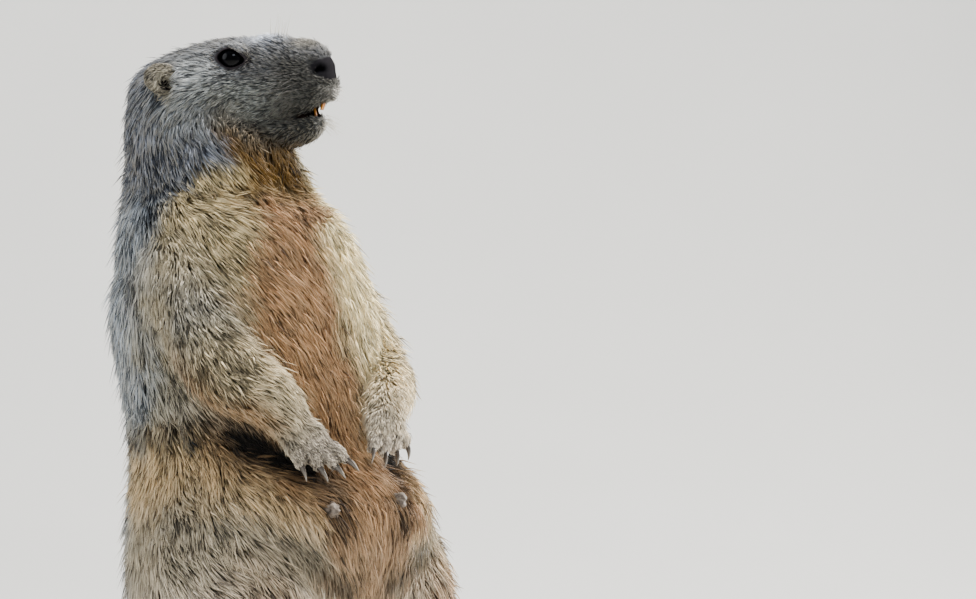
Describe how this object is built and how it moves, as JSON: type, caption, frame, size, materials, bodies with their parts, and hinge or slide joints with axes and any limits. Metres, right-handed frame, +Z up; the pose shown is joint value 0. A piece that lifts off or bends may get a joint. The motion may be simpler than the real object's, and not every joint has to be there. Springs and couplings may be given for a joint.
{
  "type": "alpine marmot",
  "caption": "Adult alpine marmot, upright on its hind feet with its tail on the ground, head turned to its left, forepaws on its belly.",
  "frame": {"origin": "on the ground, under the middle of the whole animal's bounding box", "axes": "+Z up; +X the way the belly and the hind feet point; +Y the animal's left"},
  "size_m": [0.3, 0.177, 0.4076],
  "materials": {
    "coat_body": "dense straight fur, matte",
    "coat_head": "short dense fur, matte",
    "coat_limb": "dense straight fur, matte",
    "coat_paw": "very short fur, matte",
    "coat_tail": "long bushy fur, matte",
    "horn": "smooth claw horn, satin",
    "tooth": "enamel, glossy",
    "eye": "wet, glossy",
    "nose": "bare moist skin, satin",
    "teat": "bare skin, matte"
  },
  "bodies": {
    "root": {"torso": "coat_body", "neck": "coat_head", "head": "coat_head", "nose_pad": "nose", "lower_jaw": "coat_head", "upper_incisors": "tooth", "lower_incisors": "tooth", "eye_left": "eye", "ear_left": "coat_head", "upper_arm_left": "coat_limb", "forearm_left": "coat_limb", "hand_left": "coat_paw", "claw_hand_left_1": "horn", "claw_hand_left_2": "horn", "claw_hand_left_3": "horn", "claw_hand_left_4": "horn", "thigh_left": "coat_limb", "shank_left": "coat_limb", "foot_left": "coat_paw", "claw_foot_left_1": "horn", "claw_foot_left_2": "horn", "claw_foot_left_3": "horn", "claw_foot_left_4": "horn", "claw_foot_left_5": "horn", "teat_left": "teat", "eye_right": "eye", "ear_right": "coat_head", "upper_arm_right": "coat_limb", "forearm_right": "coat_limb", "hand_right": "coat_paw", "claw_hand_right_1": "horn", "claw_hand_right_2": "horn", "claw_hand_right_3": "horn", "claw_hand_right_4": "horn", "thigh_right": "coat_limb", "shank_right": "coat_limb", "foot_right": "coat_paw", "claw_foot_right_1": "horn", "claw_foot_right_2": "horn", "claw_foot_right_3": "horn", "claw_foot_right_4": "horn", "claw_foot_right_5": "horn", "teat_right": "teat", "tail_root": "coat_tail", "tail": "coat_tail"}
  },
  "joints": []
}
